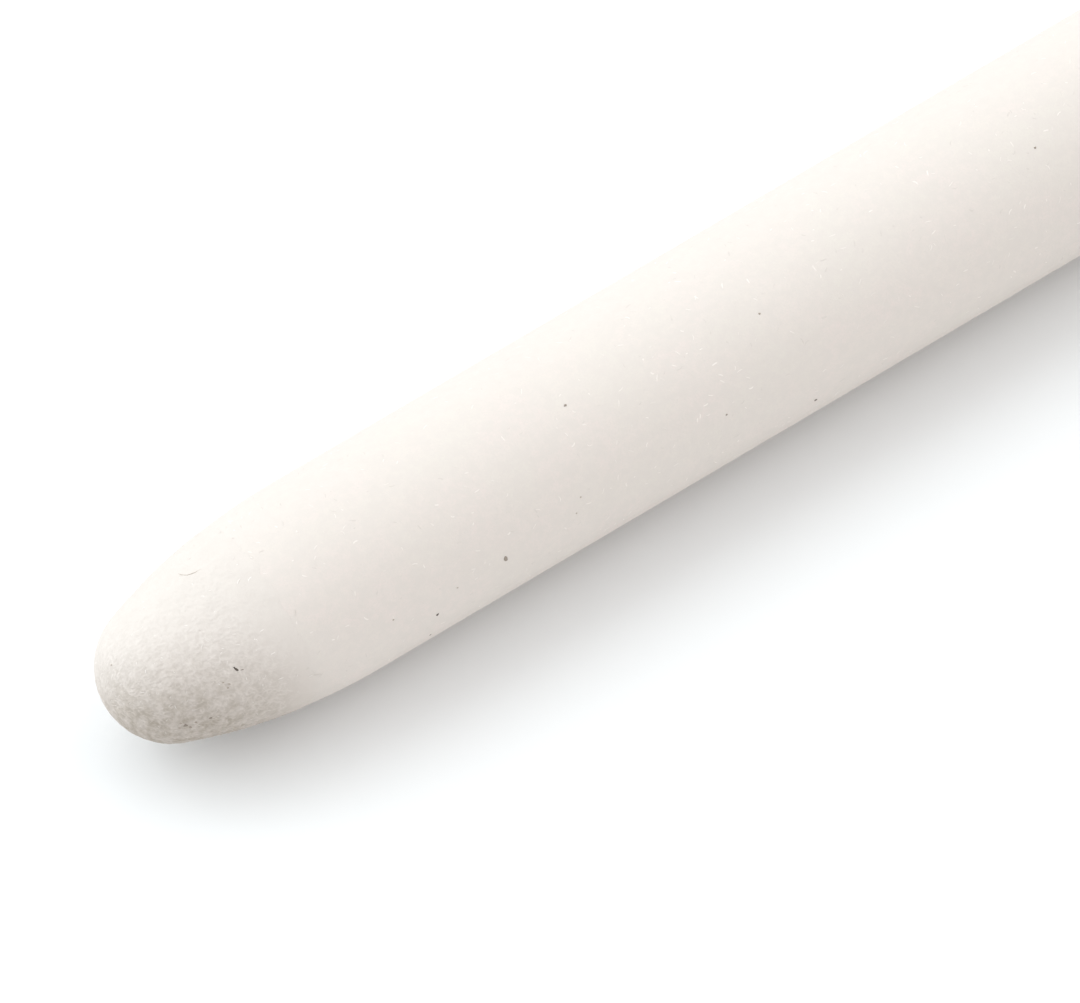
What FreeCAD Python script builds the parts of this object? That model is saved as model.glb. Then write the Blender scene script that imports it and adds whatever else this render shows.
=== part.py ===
import FreeCAD, Part
import Sketcher
import math
import os

# A double-ended paper blending stump, modelled as it is made: a tight paper quill, one long
# strip of soft felt paper wound round it, a smooth cover paper round that, dried paste in
# between, and both ends ground to a rounded nose after winding.
# Millimetres. The stump's axis runs along X; the stump lies on the plane z = 0.

# Driving dimensions: alias, value, what it is
SIZES = [
    ("overall_length", 140.0, "nose to nose"),
    ("barrel_diameter", 9.5, "straight part of the stump"),
    ("nose_length", 11.6, "ground taper, from the barrel to the end"),
    ("nose_cap_radius", 3.35, "rounded end of the nose"),
    ("wrap_thickness", 0.35, "cover paper"),
    ("wrap_paste_thickness", 0.06, "paste under the cover paper"),
    ("felt_thickness", 0.44, "wound felt paper strip"),
    ("winding_paste_thickness", 0.06, "paste between two turns"),
    ("quill_radius", 0.9, "starter roll, at its smaller side"),
    ("seam_slope", 32.0, "cover paper lap against the surface, degrees"),
    ("seam_paste_thickness", 0.07, "paste in the lap"),
]

# Dimensions worked out in the sheet from the driving ones
WORKED_OUT = [
    ("barrel_radius", "=barrel_diameter / 2"),
    ("wrap_inner_radius", "=barrel_radius - wrap_thickness"),
    ("web_radius", "=wrap_inner_radius - wrap_paste_thickness"),
    ("web_pitch", "=felt_thickness + winding_paste_thickness"),
    ("felt_outer_start", "=quill_radius + felt_thickness"),
    ("next_turn_start", "=quill_radius + web_pitch"),
    # The side of the nose is an arc that meets the barrel and the cap smoothly
    ("nose_side_radius", "=(nose_length ^ 2 - 2 * nose_length * nose_cap_radius"
                         " + barrel_radius ^ 2) / (2 * (barrel_radius - nose_cap_radius))"),
]

# Sketch plane: the sketch's x and y lie along the stump's y and z
ACROSS_AXIS = FreeCAD.Rotation(FreeCAD.Vector(1, 1, 1), 120)
# Turns a primitive's own Z onto the stump's axis
Z_ONTO_X = FreeCAD.Rotation(FreeCAD.Vector(0, 1, 0), 90)

doc = FreeCAD.newDocument("blending_stump")
sheet = doc.addObject("Spreadsheet::Sheet", "Sizes")


def fill_sheet():
    row = 1
    for alias, value, meaning in SIZES:
        sheet.set("A%d" % row, alias)
        sheet.set("B%d" % row, str(value))
        sheet.set("C%d" % row, meaning)
        sheet.setAlias("B%d" % row, alias)
        row += 1
    for alias, formula in WORKED_OUT:
        sheet.set("A%d" % row, alias)
        sheet.set("B%d" % row, formula)
        sheet.setAlias("B%d" % row, alias)
        row += 1
    doc.recompute()


def size(alias):
    return float(sheet.get(alias))


def point(x, y):
    return FreeCAD.Vector(x, y, 0)


def arc(centre, radius, start, end):
    """Arc of a circle in the sketch, anticlockwise from start to end in degrees."""
    circle = Part.Circle(centre, FreeCAD.Vector(0, 0, 1), radius)
    return Part.ArcOfCircle(circle, math.radians(start), math.radians(end))


def bind(sketch, constraint, formula):
    """Add a sketch constraint and bind its value to the sheet."""
    index = sketch.addConstraint(constraint)
    sketch.setExpression("Constraints[%d]" % index, formula)


def cylinder_along_axis(name, radius_alias):
    cylinder = doc.addObject("Part::Cylinder", name)
    cylinder.Placement.Rotation = Z_ONTO_X
    cylinder.setExpression("Radius", "Sizes." + radius_alias)
    cylinder.setExpression("Height", "Sizes.overall_length")
    cylinder.setExpression("Placement.Base.x", "-Sizes.overall_length / 2")
    return cylinder


def boolean(kind, name, base, tool):
    result = doc.addObject("Part::" + kind, name)
    result.Base = base
    result.Tool = tool
    return result


def ground_form():
    """The whole stump's outside: a revolved profile with a two-arc nose at each end."""
    half = size("overall_length") / 2
    barrel = size("barrel_radius")
    nose = size("nose_length")
    cap = size("nose_cap_radius")
    side = size("nose_side_radius")
    # The two arcs of a nose touch on the line through both centres
    lean = math.degrees(math.atan2(side - barrel, nose - cap))

    sketch = doc.addObject("Sketcher::SketchObject", "GroundProfile")
    axis = sketch.addGeometry(Part.LineSegment(point(-half, 0), point(half, 0)))
    left_cap = sketch.addGeometry(arc(point(cap - half, 0), cap, 180 - lean, 180))
    left_side = sketch.addGeometry(arc(point(nose - half, barrel - side), side, 90, 180 - lean))
    barrel_line = sketch.addGeometry(
        Part.LineSegment(point(nose - half, barrel), point(half - nose, barrel)))
    right_side = sketch.addGeometry(arc(point(half - nose, barrel - side), side, lean, 90))
    right_cap = sketch.addGeometry(arc(point(half - cap, 0), cap, 0, lean))

    constrain = sketch.addConstraint
    constrain(Sketcher.Constraint("PointOnObject", axis, 1, -1))
    constrain(Sketcher.Constraint("Symmetric", axis, 1, axis, 2, -1, 1))
    constrain(Sketcher.Constraint("Horizontal", barrel_line))
    bind(sketch, Sketcher.Constraint("DistanceX", axis, 1, axis, 2, 2 * half),
         "Sizes.overall_length")
    bind(sketch, Sketcher.Constraint("DistanceY", -1, 1, barrel_line, 1, barrel),
         "Sizes.barrel_radius")
    # At each end the cap starts on the axis and runs smoothly into the side, and the side
    # into the barrel. An arc's ends are 1 and 2 anticlockwise, and its centre is 3.
    ends = [(left_cap, left_side, 1, 2, 1), (right_cap, right_side, 2, 1, 2)]
    for cap_arc, side_arc, towards_barrel, towards_tip, line_end in ends:
        constrain(Sketcher.Constraint("Coincident", cap_arc, towards_tip, axis, line_end))
        constrain(Sketcher.Constraint("PointOnObject", cap_arc, 3, -1))
        constrain(Sketcher.Constraint("Tangent", cap_arc, towards_barrel, side_arc, towards_tip))
        constrain(Sketcher.Constraint("Tangent", side_arc, towards_barrel, barrel_line, line_end))
        bind(sketch, Sketcher.Constraint("Radius", cap_arc, cap), "Sizes.nose_cap_radius")
        bind(sketch, Sketcher.Constraint("Radius", side_arc, side), "Sizes.nose_side_radius")

    form = doc.addObject("Part::Revolution", "GroundForm")
    form.Source = sketch
    form.Axis = FreeCAD.Vector(1, 0, 0)
    form.Base = FreeCAD.Vector(0, 0, 0)
    form.Angle = 360
    form.Solid = True
    return form


def spiral(sketch, start_radius, half_turns, shift_point, formula):
    """Chain of half-circles that grows by one pitch a turn.

    The upper halves are centred on the axis and the lower ones half a pitch beside it, so
    each half runs smoothly into the next. Returns the number of the first and last arc.
    """
    offset = size("web_pitch") / 2
    first = previous = None
    for step in range(half_turns):
        upper = step % 2 == 0
        radius = start_radius + step * offset
        if upper:
            half_circle = arc(point(0, 0), radius, 0, 180)
        else:
            half_circle = arc(point(offset, 0), radius, 180, 360)
        this = sketch.addGeometry(half_circle)
        if upper:
            sketch.addConstraint(Sketcher.Constraint("Coincident", this, 3, -1, 1))
        else:
            sketch.addConstraint(Sketcher.Constraint("Coincident", this, 3, shift_point, 1))
        sketch.addConstraint(Sketcher.Constraint("PointOnObject", this, 2, -1))
        if previous is None:
            sketch.addConstraint(Sketcher.Constraint("PointOnObject", this, 1, -1))
            bind(sketch, Sketcher.Constraint("Radius", this, radius), formula)
            first = this
        else:
            sketch.addConstraint(Sketcher.Constraint("Coincident", previous, 2, this, 1))
        previous = this
    return first, previous


def new_winding_sketch(name):
    """Sketch across the axis with the point half a pitch beside it."""
    sketch = doc.addObject("Sketcher::SketchObject", name)
    sketch.Placement.Rotation = ACROSS_AXIS
    offset = size("web_pitch") / 2
    shift_point = sketch.addGeometry(Part.Point(point(offset, 0)), True)
    sketch.addConstraint(Sketcher.Constraint("PointOnObject", shift_point, 1, -1))
    bind(sketch, Sketcher.Constraint("DistanceX", -1, 1, shift_point, 1, offset),
         "Sizes.web_pitch / 2")
    return sketch, shift_point


def wound_strip(name, inner_alias, outer_alias, half_turns):
    """Closed outline of a strip wound between two spirals."""
    sketch, shift_point = new_winding_sketch(name)
    inner_start = size(inner_alias)
    outer_start = size(outer_alias)
    grown = half_turns * size("web_pitch") / 2
    inner = spiral(sketch, inner_start, half_turns, shift_point, "Sizes." + inner_alias)
    outer = spiral(sketch, outer_start, half_turns, shift_point, "Sizes." + outer_alias)
    for (x_in, x_out, arc_in, arc_out, end) in [
            (inner_start, outer_start, inner[0], outer[0], 1),
            (inner_start + grown, outer_start + grown, inner[1], outer[1], 2)]:
        edge = sketch.addGeometry(Part.LineSegment(point(x_in, 0), point(x_out, 0)))
        sketch.addConstraint(Sketcher.Constraint("Coincident", edge, 1, arc_in, end))
        sketch.addConstraint(Sketcher.Constraint("Coincident", edge, 2, arc_out, end))
    return sketch


def quill_outline(name):
    """Outline of the starter roll: one turn of the spiral, closed by the strip's own edge."""
    sketch, shift_point = new_winding_sketch(name)
    start = size("quill_radius")
    first, last = spiral(sketch, start, 2, shift_point, "Sizes.quill_radius")
    edge = sketch.addGeometry(Part.LineSegment(point(start, 0), point(start + size("web_pitch"), 0)))
    sketch.addConstraint(Sketcher.Constraint("Coincident", edge, 1, first, 1))
    sketch.addConstraint(Sketcher.Constraint("Coincident", edge, 2, last, 2))
    return sketch


def run_along_axis(name, sketch):
    """Extrude an outline both ways from the middle, to the full length of the stump."""
    extrusion = doc.addObject("Part::Extrusion", name)
    extrusion.Base = sketch
    extrusion.DirMode = "Normal"
    extrusion.Solid = True
    extrusion.setExpression("LengthFwd", "Sizes.overall_length / 2")
    extrusion.setExpression("LengthRev", "Sizes.overall_length / 2")
    return extrusion


def lap_band(name):
    """Slanted slab that crosses the cover paper once, at the underside.

    It starts a quarter of the barrel's radius outside the paper and runs in and upwards.
    """
    slab = doc.addObject("Part::Box", name)
    slab.setExpression("Length", "Sizes.overall_length")
    slab.setExpression("Width", "Sizes.barrel_radius * 3 / 4")
    slab.setExpression("Height", "Sizes.seam_paste_thickness")
    slab.Placement.Rotation = FreeCAD.Rotation(FreeCAD.Vector(1, 0, 0), size("seam_slope"))
    slab.setExpression("Placement.Rotation.Angle", "Sizes.seam_slope")
    slab.setExpression("Placement.Base.x", "-Sizes.overall_length / 2")
    slab.setExpression(
        "Placement.Base.y", "-Sizes.barrel_radius / 4 * cos(Sizes.seam_slope)")
    slab.setExpression(
        "Placement.Base.z", "-Sizes.barrel_radius * (1 + sin(Sizes.seam_slope) / 4)")
    return slab


def sub_part(obj, label):
    """Name a finished piece and lift it so that the stump lies on z = 0."""
    obj.Label = label
    obj.setExpression("Placement.Base.z", "Sizes.barrel_radius")
    return obj


def check_document():
    for obj in doc.Objects:
        if "Invalid" in obj.State or "Error" in obj.State:
            raise RuntimeError("%s did not recompute: %s" % (obj.Name, obj.State))
        if hasattr(obj, "Shape") and not obj.isDerivedFrom("Sketcher::SketchObject"):
            if obj.Shape.isNull() or not obj.Shape.isValid():
                raise RuntimeError("%s has no valid shape" % obj.Name)


def check_fit(pieces, form):
    """The pieces are one solid each and together fill the ground form exactly."""
    for piece in pieces:
        if len(piece.Shape.Solids) != 1:
            raise RuntimeError("%s has %d solids" % (piece.Label, len(piece.Shape.Solids)))
    total = sum(piece.Shape.Volume for piece in pieces)
    if abs(total / form.Shape.Volume - 1) > 1e-4:
        raise RuntimeError("the pieces fill %.5f of the stump" % (total / form.Shape.Volume))


fill_sheet()

# Enough half turns for the strip to pass the cover paper's paste all the way round
HALF_TURNS = 2 * math.ceil((size("web_radius") - size("quill_radius")) / size("web_pitch"))

whole = ground_form()
web_cylinder = cylinder_along_axis("WebCylinder", "web_radius")
wrap_bore = cylinder_along_axis("WrapBore", "wrap_inner_radius")
wound_form = boolean("Common", "WoundForm", whole, web_cylinder)
inside_wrap = boolean("Common", "InsideWrap", whole, wrap_bore)

quill_run = run_along_axis("QuillRun", quill_outline("QuillOutline"))
felt_run = run_along_axis(
    "FeltRun", wound_strip("FeltOutline", "quill_radius", "felt_outer_start", HALF_TURNS))
paste_run = run_along_axis(
    "PasteRun", wound_strip("PasteOutline", "felt_outer_start", "next_turn_start", HALF_TURNS))

cover_ring = boolean("Cut", "CoverRing", whole, wrap_bore)
lap = lap_band("LapBand")

pieces = [
    sub_part(boolean("Common", "Quill", quill_run, wound_form), "core_quill"),
    sub_part(boolean("Common", "Felt", felt_run, wound_form), "felt_web"),
    sub_part(boolean("Common", "WindingPaste", paste_run, wound_form), "winding_paste"),
    sub_part(boolean("Cut", "WrapPaste", inside_wrap, web_cylinder), "wrap_paste"),
    sub_part(boolean("Cut", "Wrap", cover_ring, lap), "outer_wrap"),
    sub_part(boolean("Common", "SeamPaste", cover_ring, lap), "seam_paste"),
]
doc.recompute()
check_document()
check_fit(pieces, whole)

os.makedirs("parts", exist_ok=True)
for piece in pieces:
    piece.Shape.exportStep("parts/%s.step" % piece.Label)
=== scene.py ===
import math
import random

import bpy
from mathutils import Matrix, Vector, noise
from mathutils.kdtree import KDTree


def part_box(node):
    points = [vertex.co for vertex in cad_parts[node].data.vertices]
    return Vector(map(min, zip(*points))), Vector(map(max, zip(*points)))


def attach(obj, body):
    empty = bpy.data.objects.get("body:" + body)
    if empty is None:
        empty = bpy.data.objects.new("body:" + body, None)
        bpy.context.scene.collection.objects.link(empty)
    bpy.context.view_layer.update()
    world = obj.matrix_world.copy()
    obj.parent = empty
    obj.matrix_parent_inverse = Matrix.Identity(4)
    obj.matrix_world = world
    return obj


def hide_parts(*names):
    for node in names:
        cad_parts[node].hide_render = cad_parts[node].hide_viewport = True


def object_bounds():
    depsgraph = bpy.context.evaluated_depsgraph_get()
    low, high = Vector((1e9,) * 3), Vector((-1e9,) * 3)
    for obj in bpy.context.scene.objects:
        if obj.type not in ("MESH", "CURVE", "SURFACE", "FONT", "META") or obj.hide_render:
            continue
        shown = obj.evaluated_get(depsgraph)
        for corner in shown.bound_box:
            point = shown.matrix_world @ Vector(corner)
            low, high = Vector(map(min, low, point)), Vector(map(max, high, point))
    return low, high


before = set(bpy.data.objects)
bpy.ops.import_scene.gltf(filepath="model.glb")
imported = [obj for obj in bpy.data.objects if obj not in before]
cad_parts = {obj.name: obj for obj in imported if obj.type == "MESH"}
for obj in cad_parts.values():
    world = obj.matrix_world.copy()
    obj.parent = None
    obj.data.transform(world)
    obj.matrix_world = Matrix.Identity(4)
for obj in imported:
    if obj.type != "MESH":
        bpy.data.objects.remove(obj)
cad_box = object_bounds()

# ---------------------------------------------------------------- sizes, in metres
MM = 0.001
WRAP_LOW, WRAP_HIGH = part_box("outer_wrap")
RADIUS = (WRAP_HIGH.z - WRAP_LOW.z) / 2
HALF_LENGTH = (cad_box[1].x - cad_box[0].x) / 2
AXIS_HEIGHT = RADIUS
# The cover paper reaches this far from the middle, where the ground nose cuts through it
WRAP_END = WRAP_HIGH.x
# The nose: a round cap, then an arc that meets the barrel smoothly
NOSE_LENGTH = 11.6 * MM
CAP_RADIUS = 3.35 * MM
SIDE_RADIUS = ((NOSE_LENGTH ** 2 - 2 * NOSE_LENGTH * CAP_RADIUS + RADIUS ** 2)
               / (2 * (RADIUS - CAP_RADIUS)))
# Where the cap meets the side arc: its radius's lean from the axis, and its depth
LEAN = math.atan2(SIDE_RADIUS - RADIUS, NOSE_LENGTH - CAP_RADIUS)
CAP_DEPTH = CAP_RADIUS * (1 - math.cos(LEAN))
# From the tip to the cover paper's edge, and where the nap starts and stops thinning out
NAP_LENGTH = HALF_LENGTH - WRAP_END
THINS_FROM = NAP_LENGTH - 2.2 * MM
THINS_TO = NAP_LENGTH + 1.0 * MM
# How far the nap piece's underside lies inside the ground nose
NAP_BEDDED = 0.09 * MM
# Strands keep this far from the tip itself, where a turn round the axis means nothing
TIP_CLEARANCE = 0.02 * MM
# The lap of the cover paper, at the underside
SEAM_TURN = math.radians(179.3)
NAP_COLUMNS = 500
STRANDS_PER_NOSE = 11000
LOOSE_FIBRES_PER_NOSE = 500
SKIN_FIBRES = 4500
# Tone of the felt between the strands, from 0 for dark to 1 for pale, kept low as painted shade
# in the hollows
HOLLOW_SHADE_TONE = 0.25


def profile_radius(from_tip):
    """The ground stump's radius at a distance from its nearer end."""
    if from_tip >= NOSE_LENGTH:
        return RADIUS
    if from_tip <= CAP_DEPTH:
        return math.sqrt(max(CAP_RADIUS ** 2 - (CAP_RADIUS - from_tip) ** 2, 0.0))
    return RADIUS - SIDE_RADIUS + math.sqrt(SIDE_RADIUS ** 2 - (NOSE_LENGTH - from_tip) ** 2)


def profile_normal(from_tip):
    """Outward normal of the profile there: (along the axis away from the tip, outwards)."""
    if from_tip >= NOSE_LENGTH:
        return 0.0, 1.0
    if from_tip <= CAP_DEPTH:
        return (from_tip - CAP_RADIUS) / CAP_RADIUS, profile_radius(from_tip) / CAP_RADIUS
    along = (from_tip - NOSE_LENGTH) / SIDE_RADIUS
    return along, math.sqrt(1 - along ** 2)


def stump_point(end, from_tip, turn, height=0.0):
    """Point on the ground surface, or height above it.

    end is -1 for the nose at -X and 1 for the other, and turn goes from the top towards -Y.
    """
    along, outwards = profile_normal(from_tip)
    radius = profile_radius(from_tip) + outwards * height
    x = end * (HALF_LENGTH - from_tip - along * height)
    return Vector((x, -radius * math.sin(turn), AXIS_HEIGHT + radius * math.cos(turn)))


def smooth_step(low, high, value):
    """0 below low, 1 above high, and a smooth rise between them."""
    share = min(max((value - low) / (high - low), 0.0), 1.0)
    return share * share * (3 - 2 * share)


def rough(point, per_mm, octaves=3):
    """Fractal noise of about -1 to 1 with so many bumps to the millimetre."""
    return noise.fractal(point * (per_mm / MM), 0.9, 2.1, octaves)


# ---------------------------------------------------------------- meshes
def add_mesh(name, points, faces, material, tones=None, smooth=True):
    """A piece of the stump, with a tone for each point where its material reads one."""
    mesh = bpy.data.meshes.new(name)
    mesh.from_pydata(points, [], faces)
    if tones:
        mesh.attributes.new("tone", "FLOAT", "POINT").data.foreach_set("value", tones)
    if smooth:
        mesh.shade_smooth()
    mesh.materials.append(material)
    piece = bpy.data.objects.new(name, mesh)
    bpy.context.collection.objects.link(piece)
    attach(piece, "root")
    return piece


def ring_faces(ring_count, columns, first=0):
    """Quads between neighbouring rings of points, facing out for rings that follow +X."""
    faces = []
    for ring in range(ring_count - 1):
        low = first + ring * columns
        high = low + columns
        for column in range(columns):
            beside = (column + 1) % columns
            faces.append((low + column, low + beside, high + beside, high + column))
    return faces


def steps(low, high, spacing):
    """Evenly spaced values from low up to, but not including, high."""
    count = max(1, round((high - low) / spacing))
    return [low + (high - low) * index / count for index in range(count)]


def skin_dent(place, turn):
    """How far the cover paper's outside dips there, with a fine groove along the seam."""
    waves = 0.006 * rough(place, 0.35, 2)
    ripples = 0.006 * rough(place, 1.6)
    dent = (0.007 - waves - ripples) * MM
    from_seam = abs(turn - SEAM_TURN) * RADIUS
    groove = 0.03 * MM
    dent += groove * (1 - smooth_step(0.03 * MM, 0.16 * MM, from_seam))
    return max(dent, 0.0)


def add_cover_skin():
    """The cover paper: fine outside, a plain bore inside, one knife edge at each nose."""
    columns = 204
    # The near end has finer rings than the rest
    fine_until = -18 * MM
    along = steps(-WRAP_END, fine_until, 0.155 * MM)
    along += steps(fine_until, WRAP_END, 0.45 * MM) + [WRAP_END]
    points = []
    for x in along:
        end = -1 if x < 0 else 1
        from_tip = HALF_LENGTH - abs(x)
        for column in range(columns):
            turn = math.tau * column / columns
            place = stump_point(end, from_tip, turn)
            points.append(stump_point(end, from_tip, turn, -skin_dent(place, turn)))
    faces = ring_faces(len(along), columns)
    last = (len(along) - 1) * columns
    for column in range(columns):
        beside = (column + 1) % columns
        faces.append((last + column, last + beside, beside, column))
    skin = add_mesh("cover_skin", points, faces, COVER_PAPER)
    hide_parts("outer_wrap")


def nap_share(place, from_tip):
    """1 where the nose is ground bare, 0 on the cover paper, with a ragged edge between."""
    ragged = from_tip + 0.3 * MM * rough(place, 0.9, 2)
    return 1 - smooth_step(NAP_LENGTH + 0.2 * MM, NAP_LENGTH + 1.3 * MM, ragged)


def nap_height(place, from_tip):
    """Lumps and hollows of the felt, which sink under the cover paper where the nap ends."""
    there = nap_share(place, from_tip)
    lumps = 0.014 * rough(place, 0.7, 2) + 0.009 * rough(place, 3.0, 3)
    return (0.018 + lumps) * MM * there - 0.04 * MM * (1 - there)


def spot_on_nose(chance):
    """Distance from the tip of one strand: evenly spread, and rarer where the nap thins out."""
    while True:
        from_tip = chance.uniform(TIP_CLEARANCE, NAP_LENGTH + 1.2 * MM)
        area = profile_radius(from_tip) / (RADIUS * profile_normal(from_tip)[1])
        kept = 1 - 0.8 * smooth_step(THINS_FROM, THINS_TO, from_tip)
        if chance.random() < area * kept:
            return from_tip


def nap_strands(end, seed, count):
    """Centre lines, widths and tones of the strands matted into one nose."""
    chance = random.Random(seed)
    strands = []
    for _ in range(count):
        from_tip = spot_on_nose(chance)
        length = chance.uniform(0.10, 0.36) * MM
        point_count = 2 + round(length / (0.04 * MM))
        line = fibre_line(end, from_tip, math.tau * chance.random(), math.tau * chance.random(),
                          chance.gauss(0, 1.1), length, 0.0, point_count)
        width = chance.uniform(0.036, 0.066) * MM
        tone = chance.uniform(0.1, 1.0)
        strands.append(([place for place, _ in line], width, tone))
    return strands


def press_strands(points, strands):
    """How high each point stands on the strands that pass it, 0 to 1, and their tone."""
    tree = KDTree(len(points))
    for index, place in enumerate(points):
        tree.insert(place, index)
    tree.balance()
    ridge = [0.0] * len(points)
    # Points between the strands keep the low hollow tone: painted shade
    tone = [HOLLOW_SHADE_TONE] * len(points)
    for line, width, strand_tone in strands:
        # Pale strands stand higher than dark ones
        strength = 0.35 + 0.65 * strand_tone
        for place in line:
            for _, index, away in tree.find_range(place, width):
                height = strength * (1 - (away / width) ** 2)
                if height > ridge[index]:
                    ridge[index] = height
                    tone[index] = (HOLLOW_SHADE_TONE
                                   + (strand_tone - HOLLOW_SHADE_TONE) * (1 - away / width))
    return ridge, tone


def nap_rings():
    """Distances from the tip of the nap's rings, evenly spaced over the cap and the side."""
    reach = NAP_LENGTH + 1.7 * MM
    cap_rings = 60
    from_tips = [CAP_RADIUS * (1 - math.cos(LEAN * ring / cap_rings))
                 for ring in range(1, cap_rings + 1)]
    return from_tips + steps(CAP_DEPTH, reach, 0.062 * MM)[1:] + [reach]


def add_nose_nap(name, end, seed):
    """Thin felted layer over one ground nose, closed underneath."""
    from_tips = nap_rings()
    turns = [math.tau * column / NAP_COLUMNS for column in range(NAP_COLUMNS)]
    ground = [(stump_point(end, from_tip, turn), from_tip, turn)
              for from_tip in from_tips for turn in turns]
    ridge, tone = press_strands([place for place, _, _ in ground],
                                nap_strands(end, seed, STRANDS_PER_NOSE))
    strand_relief = 0.028 * MM
    middle_tone = 0.5
    points = []
    for index, (place, from_tip, turn) in enumerate(ground):
        # The strands lie flatter and blend in colour towards the cover paper
        ragged = from_tip + 0.4 * MM * rough(place, 0.5, 2)
        matted = 1 - smooth_step(THINS_FROM, THINS_TO, ragged)
        height = nap_height(place, from_tip) + strand_relief * ridge[index] * matted
        points.append(stump_point(end, from_tip, turn, height))
        tone[index] = middle_tone + (tone[index] - middle_tone) * matted
    # The underside runs back to the tip in wider steps
    under_tips = from_tips[::-12] + [from_tips[0]]
    for from_tip in under_tips:
        for turn in turns:
            points.append(stump_point(end, from_tip, turn, -NAP_BEDDED))
    ring_count = len(from_tips) + len(under_tips)
    outer_tip = len(points)
    under_tip = outer_tip + 1
    points.append(stump_point(end, 0.0, 0.0, 0.03 * MM))
    points.append(stump_point(end, 0.0, 0.0, -NAP_BEDDED))
    tone += [0.0] * (len(points) - len(tone))
    faces = ring_faces(ring_count, NAP_COLUMNS)
    last = (ring_count - 1) * NAP_COLUMNS
    for column in range(NAP_COLUMNS):
        beside = (column + 1) % NAP_COLUMNS
        faces.append((outer_tip, beside, column))
        faces.append((under_tip, last + column, last + beside))
    # At the far nose the rings run towards -X, so its faces are turned round
    if end > 0:
        faces = [tuple(reversed(face)) for face in faces]
    nap = add_mesh(name, points, faces, NAP_FELT, tone)


def fibre_line(end, from_tip, turn, heading, curl, length, height, count=5):
    """Centre line of a fibre that wanders over the surface: (point, way up) pairs."""
    line = []
    step = length / (count - 1)
    # Close to the tip a small step would otherwise run right round it
    least_radius = 0.3 * MM
    for _ in range(count):
        place = stump_point(end, from_tip, turn, height)
        up = (stump_point(end, from_tip, turn, height + MM) - place).normalized()
        line.append((place, up))
        from_tip += step * math.cos(heading) * profile_normal(from_tip)[1]
        from_tip = max(from_tip, TIP_CLEARANCE)
        turn += step * math.sin(heading) / max(profile_radius(from_tip), least_radius)
        heading += curl / count
    return line


def add_strand(points, faces, line, half_width, crest):
    """Flat three-sided strand along a line, pointed and sunk at both ends."""
    first = len(points)
    sink = -0.8 * crest
    points.append(line[0][0] + sink * line[0][1])
    for index in range(1, len(line) - 1):
        place, up = line[index]
        forward = line[index + 1][0] - line[index - 1][0]
        side = half_width * forward.cross(up).normalized()
        points += [place + crest * up, place + side + sink * up, place - side + sink * up]
    points.append(line[-1][0] + sink * line[-1][1])
    last = len(points) - 1
    for corner in range(3):
        beside = (corner + 1) % 3
        faces.append((first, first + 1 + beside, first + 1 + corner))
        faces.append((last, last - 3 + corner, last - 3 + beside))
        for index in range(len(line) - 3):
            low = first + 1 + 3 * index
            faces.append((low + corner, low + beside, low + 3 + beside, low + 3 + corner))
    return last + 1 - first


def add_fibres(name, material, fibres):
    """One piece of many fibres, each a (line, half width, crest, tone)."""
    points, faces, tones = [], [], []
    for line, half_width, crest, tone in fibres:
        count = add_strand(points, faces, line, half_width, crest)
        tones += [tone] * count
    return add_mesh(name, points, faces, material, tones, smooth=False)


def nap_fibres(end, seed, count):
    """Loose fibres lying on a nose."""
    chance = random.Random(seed)
    fibres = []
    for _ in range(count):
        from_tip = spot_on_nose(chance)
        turn = math.tau * chance.random()
        height = max(nap_height(stump_point(end, from_tip, turn), from_tip), 0.0)
        line = fibre_line(end, from_tip, turn, math.tau * chance.random(), chance.gauss(0, 1.1),
                          chance.uniform(0.06, 0.35) * MM, height + 0.012 * MM)
        half_width = chance.uniform(0.014, 0.026) * MM
        fibres.append((line, half_width, 0.005 * MM, chance.random()))
    return fibres


def barrel_fibres(seed, count):
    """Short fibres pressed into the cover paper's skin."""
    chance = random.Random(seed)
    fibres = []
    for _ in range(count):
        end = chance.choice((-1, 1))
        from_tip = chance.uniform(NAP_LENGTH, HALF_LENGTH)
        turn = math.tau * chance.random()
        height = 0.003 * MM - skin_dent(stump_point(end, from_tip, turn), turn)
        line = fibre_line(end, from_tip, turn, math.tau * chance.random(),
                          chance.gauss(0, 1.3), chance.uniform(0.10, 0.38) * MM, height)
        half_width = chance.uniform(0.016, 0.034) * MM
        fibres.append((line, half_width, 0.004 * MM, chance.random()))
    return fibres


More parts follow.
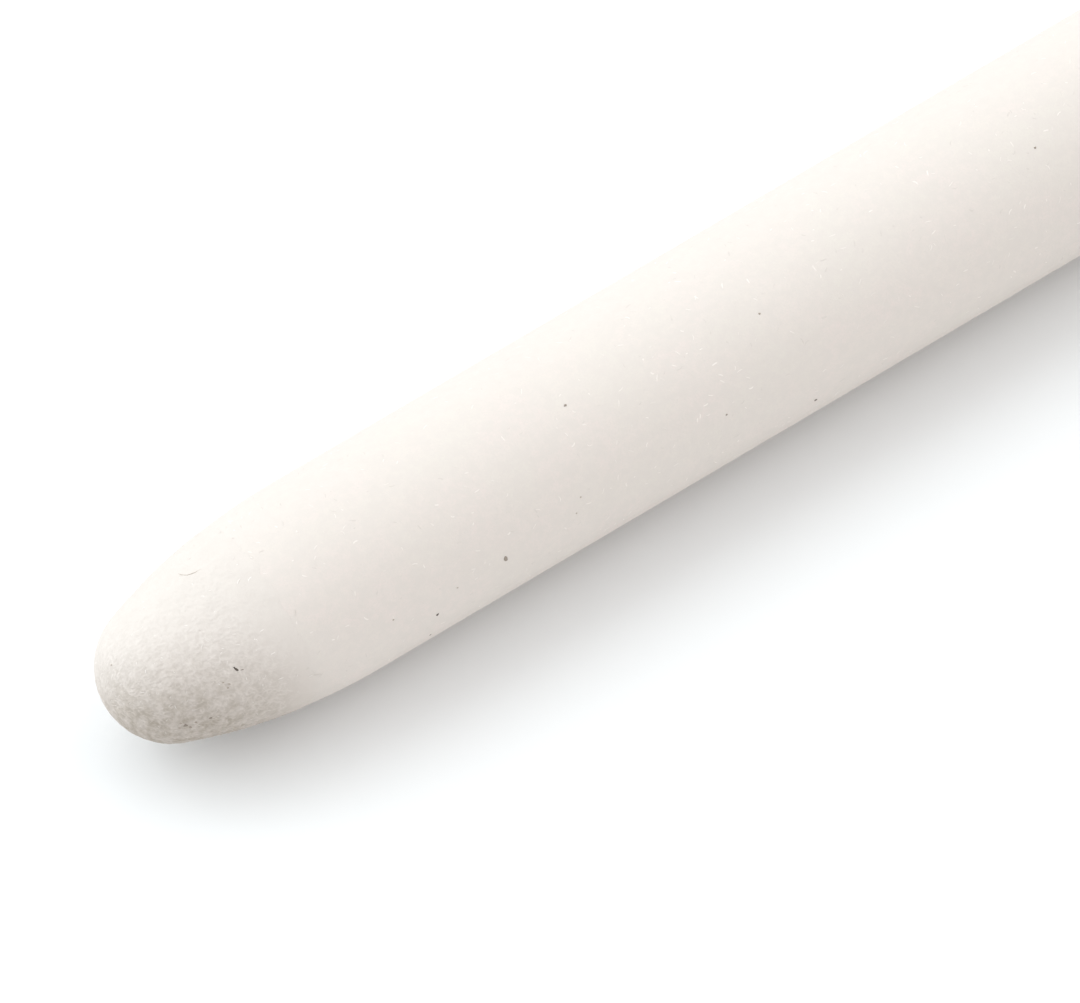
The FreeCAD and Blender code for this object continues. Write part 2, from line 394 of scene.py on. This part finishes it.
# Dirt flecks on the near end: mm from the tip, degrees round from the top towards -Y,
# length and width in mm, degrees that the fleck leans from the axis, and how pale it is
FLECKS = [
    (23.8, 15.5, 0.17, 0.12, 20, 0.55), (30.4, 66.0, 0.12, 0.10, 0, 0.55),
    (33.8, 25.9, 0.12, 0.10, 40, 0.75), (35.0, 94.1, 0.17, 0.12, 10, 0.25),
    (18.2, 74.4, 0.36, 0.18, 80, 0.6), (14.4, 86.1, 0.17, 0.13, 0, 0.1),
    (49.0, 24.0, 0.13, 0.10, 0, 0.6), (22.5, 64.0, 0.10, 0.08, 30, 0.95),
    (22.1, 72.1, 0.10, 0.08, 0, 0.9), (15.6, 74.9, 0.12, 0.08, 50, 0.9),
    (14.1, 104.1, 0.12, 0.10, 0, 0.5), (12.2, 71.3, 0.10, 0.08, 0, 0.85),
    (0.6, -17.1, 0.12, 0.07, 70, 0.9), (4.7, 52.1, 0.30, 0.12, 60, 0.0),
    (4.95, 54.5, 0.16, 0.05, 10, 0.35), (4.2, 60.0, 0.16, 0.10, 30, 0.8),
    (4.0, 57.5, 0.12, 0.08, 0, 0.75), (4.1, 62.5, 0.10, 0.08, 0, 0.8),
    (2.0, 84.9, 0.26, 0.15, 20, 0.45), (3.1, 83.8, 0.16, 0.08, 0, 0.45),
    (2.2, 88.0, 0.18, 0.12, 60, 0.6), (1.8, 81.0, 0.14, 0.10, 0, 0.7),
    (2.45, 84.0, 0.16, 0.10, 40, 0.65), (1.75, 87.5, 0.12, 0.09, 0, 0.75),
]


def all_specks(chance):
    """The placed flecks in metres and radians, and a seeded scatter round the back."""
    specks = [(-1, tip * MM, math.radians(turn), long * MM, wide * MM, math.radians(lean), pale)
              for tip, turn, long, wide, lean, pale in FLECKS]
    for _ in range(46):
        specks.append((chance.choice((-1, 1)), chance.uniform(1 * MM, HALF_LENGTH),
                       chance.uniform(math.radians(130), math.radians(300)),
                       chance.uniform(0.06, 0.2) * MM, chance.uniform(0.05, 0.1) * MM,
                       chance.uniform(0, math.pi), chance.random()))
    return specks


def add_flecks():
    """Dark specks of dirt bedded in the skin: low uneven mounds of three rings each."""
    chance = random.Random(31)
    sides = 8
    points, faces, tones = [], [], []
    for end, from_tip, turn, long, wide, lean, pale in all_specks(chance):
        first = len(points)
        top = 0.012 * MM
        # On a nose a fleck lies on the strands
        if from_tip < NAP_LENGTH:
            top += 0.018 * MM + max(nap_height(stump_point(end, from_tip, turn), from_tip), 0.0)
        for height, share in ((top, 0.55), (top - 0.008 * MM, 1.0), (top - 0.05 * MM, 0.8)):
            for side in range(sides):
                angle = math.tau * side / sides
                reach = share * chance.uniform(0.6, 1.2)
                across = reach * wide / 2 * math.sin(angle)
                along = reach * long / 2 * math.cos(angle)
                down = along * math.cos(lean) - across * math.sin(lean)
                round_by = along * math.sin(lean) + across * math.cos(lean)
                points.append(stump_point(end, from_tip + down * profile_normal(from_tip)[1],
                                          turn + round_by / profile_radius(from_tip), height))
        tones += [pale] * (3 * sides)
        faces += ring_faces(3, sides, first)
        faces.append(tuple(first + side for side in reversed(range(sides))))
        faces.append(tuple(first + 2 * sides + side for side in range(sides)))
    flecks = add_mesh("dirt_flecks", points, faces, DIRT, tones)


def add_hair():
    """One thin curled hair lying on the nose: mm from the tip and degrees round."""
    places = [(5.1, -28.5), (5.15, -24.5), (5.3, -20.5), (5.6, -18.0), (5.95, -17.0)]
    line = []
    for tip, turn in places:
        place = stump_point(-1, tip * MM, math.radians(turn), 0.045 * MM)
        above = stump_point(-1, tip * MM, math.radians(turn), MM)
        line.append((place, (above - place).normalized()))
    hair = add_fibres("stray_hair", DIRT, [(line, 0.014 * MM, 0.012 * MM, 0.9)])


# ---------------------------------------------------------------- materials
def new_material(name, roughness, specular=0.25):
    """A material with its shader, and the nodes and links to build on."""
    material = bpy.data.materials.new(name)
    material.use_nodes = True
    tree = material.node_tree
    shader = tree.nodes["Principled BSDF"]
    shader.inputs["Roughness"].default_value = roughness
    shader.inputs["Specular IOR Level"].default_value = specular
    return material, tree, shader


def position(tree):
    """Where a point lies in the stump's own frame, in metres."""
    return tree.nodes.new("ShaderNodeTexCoord").outputs["Object"]


def noise_value(tree, per_mm, detail=3.0, roughness=0.55):
    """Noise with so many bumps to the millimetre."""
    texture = tree.nodes.new("ShaderNodeTexNoise")
    texture.inputs["Scale"].default_value = per_mm / MM
    texture.inputs["Detail"].default_value = detail
    texture.inputs["Roughness"].default_value = roughness
    tree.links.new(position(tree), texture.inputs["Vector"])
    return texture.outputs["Fac"]


def spread(tree, value, low, high, to_low=0.0, to_high=1.0):
    """value from low to high, moved to to_low to to_high and held there outside."""
    node = tree.nodes.new("ShaderNodeMapRange")
    node.interpolation_type = "SMOOTHSTEP"
    for socket, number in (("From Min", low), ("From Max", high),
                           ("To Min", to_low), ("To Max", to_high)):
        node.inputs[socket].default_value = number
    tree.links.new(value, node.inputs["Value"])
    return node.outputs["Result"]


def blend_colour(tree, share, below, above):
    """below where share is 0 and above where it is 1; each is a colour or a socket."""
    node = tree.nodes.new("ShaderNodeMix")
    node.data_type = "RGBA"
    tree.links.new(share, node.inputs["Factor"])
    for socket, colour in ((node.inputs["A"], below), (node.inputs["B"], above)):
        if isinstance(colour, tuple):
            socket.default_value = (*colour, 1)
        else:
            tree.links.new(colour, socket)
    return node.outputs["Result"]


def blend_value(tree, share, below, above):
    """below where share is 0 and above where it is 1, all of them values."""
    node = tree.nodes.new("ShaderNodeMix")
    for socket, value in (("Factor", share), ("A", below), ("B", above)):
        tree.links.new(value, node.inputs[socket])
    return node.outputs["Result"]


def bump(tree, shader, value, depth):
    """Fine relief, so deep between the value's 0 and its 1."""
    node = tree.nodes.new("ShaderNodeBump")
    node.inputs["Distance"].default_value = depth
    node.inputs["Strength"].default_value = 1.0
    tree.links.new(value, node.inputs["Height"])
    tree.links.new(node.outputs["Normal"], shader.inputs["Normal"])


def from_soiled_shaded_spot(tree):
    """Distance from the most handled spot, low on the near nose away from the lights, where
    grime and painted shade darken it; shortened along the axis.
    """
    spot = (0.5 * MM - HALF_LENGTH, -3.4 * MM, AXIS_HEIGHT - 1.5 * MM)
    place = position(tree)
    for operation, values in (("SUBTRACT", spot), ("MULTIPLY", (0.62, 1, 1))):
        node = tree.nodes.new("ShaderNodeVectorMath")
        node.operation = operation
        node.inputs[1].default_value = values
        tree.links.new(place, node.inputs[0])
        place = node.outputs[0]
    away = tree.nodes.new("ShaderNodeVectorMath")
    away.operation = "LENGTH"
    tree.links.new(place, away.inputs[0])
    return away.outputs["Value"]


def soil_and_shade_share(tree):
    """1 in the darker patch round the handled spot, partly grime and partly painted shade on
    the nose's underside, fading out over a few mm.
    """
    return spread(tree, from_soiled_shaded_spot(tree), 1.8 * MM, 6.3 * MM, 1.0, 0.0)


def inside_ring(tree):
    """0 where the cover paper starts, and 1 a few mm nearer to either tip."""
    split = tree.nodes.new("ShaderNodeSeparateXYZ")
    tree.links.new(position(tree), split.inputs["Vector"])
    from_middle = tree.nodes.new("ShaderNodeMath")
    from_middle.operation = "ABSOLUTE"
    tree.links.new(split.outputs["X"], from_middle.inputs[0])
    return spread(tree, from_middle.outputs["Value"], WRAP_END - 0.8 * MM, WRAP_END + 2.4 * MM)


def tone_value(tree):
    """The mesh's own tone, as it was worked out for each point."""
    tone = tree.nodes.new("ShaderNodeAttribute")
    tone.attribute_name = "tone"
    return tone.outputs["Fac"]


def cover_paper():
    """Smooth paper, faintly cloudy, with a pressed grain and the near nose's darker patch,
    partly grime and partly painted shade.
    """
    material, tree, shader = new_material("cover_paper", 0.82)
    clouds = spread(tree, noise_value(tree, 0.4, 3), 0.3, 0.7)
    colour = blend_colour(tree, clouds, (0.722, 0.646, 0.606), (0.700, 0.651, 0.598))
    mottle = spread(tree, noise_value(tree, 2.2, 3, 0.6), 0.35, 0.65)
    colour = blend_colour(tree, mottle, (0.685, 0.630, 0.587), colour)
    grain = spread(tree, noise_value(tree, 9, 4, 0.7), 0.3, 0.6)
    colour = blend_colour(tree, grain, (0.681, 0.627, 0.584), colour)
    # Painted shade and grime: darker low on the near nose, on its side away from the lights
    soiled_and_shaded = blend_colour(tree, soil_and_shade_share(tree), colour, (0.450, 0.413, 0.370))
    tree.links.new(soiled_and_shaded, shader.inputs["Base Color"])
    bump(tree, shader, noise_value(tree, 7, 5, 0.75), 0.010 * MM)
    return material


def nap_felt():
    """Matted felt: strands and hollows differ a little, and more round the handled spot low on
    the near nose, which grime and painted shade darken.
    """
    material, tree, shader = new_material("nap_felt", 0.95, 0.1)
    blotches = spread(tree, noise_value(tree, 1.1, 4, 0.65), 0.3, 0.7)
    clean = blend_colour(tree, blotches, (0.680, 0.629, 0.586), (0.706, 0.652, 0.608))
    # In patches the strands are pressed into a soft mat that hides their outlines
    pressed = spread(tree, noise_value(tree, 0.8, 3, 0.6), 0.38, 0.62, 0.05, 0.75)
    mat = spread(tree, noise_value(tree, 4.5, 4, 0.7), 0.3, 0.7, 0.0, 0.9)
    strands = spread(tree, tone_value(tree), 0.0, 1.0)
    strands = blend_value(tree, inside_ring(tree), strands,
                          blend_value(tree, pressed, strands, mat))
    # Hollows darker than the strands' crests: the strands' own tones, with painted shade in the
    # hollows
    matted = blend_colour(tree, strands, (0.619, 0.564, 0.521), (0.751, 0.692, 0.650))
    # Grime and painted shade on the near nose's underside: darker crests and hollows
    soiled_and_shaded = blend_colour(tree, strands, (0.427, 0.380, 0.337), (0.607, 0.548, 0.505))
    grimy_and_shaded = blend_colour(tree, strands, (0.337, 0.296, 0.248), (0.522, 0.463, 0.412))
    clumps = spread(tree, noise_value(tree, 1.9, 4, 0.6), 0.38, 0.62)
    clumps = blend_value(tree, inside_ring(tree), tone_value(tree), clumps)
    soiled_and_shaded = blend_colour(tree, clumps, grimy_and_shaded, soiled_and_shaded)
    # Strand contrast, with its painted shade in the hollows, shows mostly round the handled
    # spot on the shaded underside
    worn_and_shaded = spread(tree, from_soiled_shaded_spot(tree), 4.4 * MM, 7.2 * MM, 1.0, 0.15)
    colour = blend_colour(tree, worn_and_shaded, clean, matted)
    # Painted shade and grime darken the patch low on the near nose
    colour = blend_colour(tree, soil_and_shade_share(tree), colour, soiled_and_shaded)
    tree.links.new(colour, shader.inputs["Base Color"])
    bump(tree, shader, noise_value(tree, 12, 5, 0.8), 0.012 * MM)
    return material


def core_felt():
    """The wound felt under the nap: soft and blotchy."""
    material, tree, shader = new_material("core_felt", 0.95, 0.1)
    blotches = spread(tree, noise_value(tree, 1.1, 4, 0.65), 0.3, 0.7)
    colour = blend_colour(tree, blotches, (0.69, 0.63, 0.57), (0.73, 0.67, 0.61))
    tree.links.new(colour, shader.inputs["Base Color"])
    bump(tree, shader, noise_value(tree, 12, 5, 0.8), 0.015 * MM)
    return material


def fibre(name, pale, tan, soiled_and_shaded):
    """Fibres from tan to pale, by each one's own tone, and darker in the near nose's patch of
    grime and painted shade.
    """
    material, tree, shader = new_material(name, 0.7, 0.3)
    colour = blend_colour(tree, spread(tree, tone_value(tree), 0.05, 0.9), tan, pale)
    # Darker round the spot low on the near nose: grime and painted shade
    colour = blend_colour(tree, soil_and_shade_share(tree), colour, soiled_and_shaded)
    streaks = spread(tree, noise_value(tree, 20, 2), 0.3, 0.7, 0.0, 0.15)
    colour = blend_colour(tree, streaks, colour, tan)
    tree.links.new(colour, shader.inputs["Base Color"])
    return material


def dirt():
    """Nearly black where the tone is 0, and a soft tan grey where it is 1."""
    material, tree, shader = new_material("dirt", 0.8)
    colour = blend_colour(tree, tone_value(tree), (0.055, 0.045, 0.040), (0.52, 0.455, 0.39))
    patches = spread(tree, noise_value(tree, 8), 0.35, 0.65, 0.0, 0.25)
    colour = blend_colour(tree, patches, colour, (0.30, 0.24, 0.18))
    tree.links.new(colour, shader.inputs["Base Color"])
    return material


def paste():
    """Dried paste, a little yellower than the paper."""
    material, tree, shader = new_material("dried_paste", 0.6)
    colour = blend_colour(tree, spread(tree, noise_value(tree, 3), 0.3, 0.7),
                          (0.70, 0.62, 0.52), (0.78, 0.72, 0.64))
    tree.links.new(colour, shader.inputs["Base Color"])
    bump(tree, shader, noise_value(tree, 10), 0.01 * MM)
    return material


# ---------------------------------------------------------------- floor, light and camera
AMBIENT = 0.867
# Soft lights: azimuth from +Y towards -X, elevation and width in degrees, strength, colour
LIGHTS = [
    ("window", 50, 33, 56, 1.46, (0.91, 1.0, 1.04)),
    ("skylight", 0, 55, 44, 0.56, (0.91, 1.0, 1.04)),
    ("reflector", -100, 40, 80, 0.80, (1.0, 1.0, 0.985)),
]


def add_floor():
    """A white floor that runs past every view."""
    half = 6.0
    mesh = bpy.data.meshes.new("floor")
    mesh.from_pydata([(-half, -half, 0), (half, -half, 0), (half, half, 0), (-half, half, 0)],
                     [], [(0, 1, 2, 3)])
    floor = bpy.data.objects.new("floor", mesh)
    bpy.context.collection.objects.link(floor)
    material, _, shader = new_material("floor_white", 1.0, 0.0)
    shader.inputs["Base Color"].default_value = (0.825, 0.825, 0.825, 1)
    mesh.materials.append(material)


def add_soft_light(name, azimuth, elevation, width, strength, colour):
    """A far light as wide as a big soft box. Azimuth turns from +Y towards -X."""
    lamp = bpy.data.lights.new(name, "SUN")
    lamp.energy = strength
    lamp.angle = math.radians(width)
    lamp.color = colour
    light = bpy.data.objects.new(name, lamp)
    around, above = math.radians(azimuth), math.radians(elevation)
    towards = Vector((-math.sin(around) * math.cos(above), math.cos(around) * math.cos(above),
                      math.sin(above)))
    light.rotation_mode = "QUATERNION"
    light.rotation_quaternion = towards.to_track_quat("Z", "Y")
    bpy.context.collection.objects.link(light)


def add_lights():
    """An even pale sky and the soft lights."""
    world = bpy.data.worlds.new("studio")
    world.use_nodes = True
    background = world.node_tree.nodes["Background"]
    background.inputs["Color"].default_value = (0.99, 1.0, 1.005, 1)
    background.inputs["Strength"].default_value = AMBIENT
    bpy.context.scene.world = world
    for light in LIGHTS:
        add_soft_light(*light)


def add_camera():
    """A long lens from above and in front, so that the barrel's two edges stay parallel."""
    elevation = math.radians(55.6)
    azimuth = math.radians(-35.5)
    back = Vector((math.sin(azimuth) * math.cos(elevation),
                   -math.cos(azimuth) * math.cos(elevation), math.sin(elevation)))
    right = Vector((math.cos(azimuth), math.sin(azimuth), 0))
    up = back.cross(right)
    cap_centre = Vector((CAP_RADIUS - HALF_LENGTH, 0, AXIS_HEIGHT))
    # The picture's middle, to the right of the cap and above it
    aim = cap_centre + 16.27 * MM * right + 7.29 * MM * up
    picture_width = 47.6 * MM
    camera = bpy.data.cameras.new("camera")
    camera.lens = 900
    camera.sensor_width = 36
    camera.clip_start = 0.01
    camera.clip_end = 30
    eye = bpy.data.objects.new("camera", camera)
    distance = picture_width * camera.lens / camera.sensor_width
    turned = Matrix((right, up, back)).transposed().to_4x4()
    eye.matrix_world = Matrix.Translation(aim + back * distance) @ turned
    bpy.context.collection.objects.link(eye)
    bpy.context.scene.camera = eye


# ---------------------------------------------------------------- the stump
COVER_PAPER = cover_paper()
NAP_FELT = nap_felt()
CORE_FELT = core_felt()
NAP_FIBRE = fibre("nap_fibre", pale=(0.870, 0.815, 0.775), tan=(0.651, 0.603, 0.559),
                  soiled_and_shaded=(0.574, 0.533, 0.494))
SKIN_FIBRE = fibre("skin_fibre", pale=(0.825, 0.764, 0.718), tan=(0.640, 0.588, 0.545),
                   soiled_and_shaded=(0.526, 0.485, 0.440))
DIRT = dirt()
PASTE = paste()

for node_name, material in (("core_quill", CORE_FELT), ("felt_web", CORE_FELT),
                            ("winding_paste", PASTE), ("wrap_paste", PASTE),
                            ("seam_paste", PASTE)):
    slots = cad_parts[node_name].data.materials
    slots.clear()
    slots.append(material)

add_cover_skin()
for nose_name, nose_end, nose_seed in (("near", -1, 11), ("far", 1, 12)):
    add_nose_nap("nose_nap_" + nose_name, nose_end, nose_seed)
    loose = add_fibres("nap_fibres_" + nose_name, NAP_FIBRE,
                       nap_fibres(nose_end, nose_seed, LOOSE_FIBRES_PER_NOSE))
pressed = add_fibres("skin_fibres", SKIN_FIBRE, barrel_fibres(21, SKIN_FIBRES))
add_flecks()
add_hair()
add_floor()
add_lights()
add_camera()
bpy.context.scene.view_settings.view_transform = "Standard"
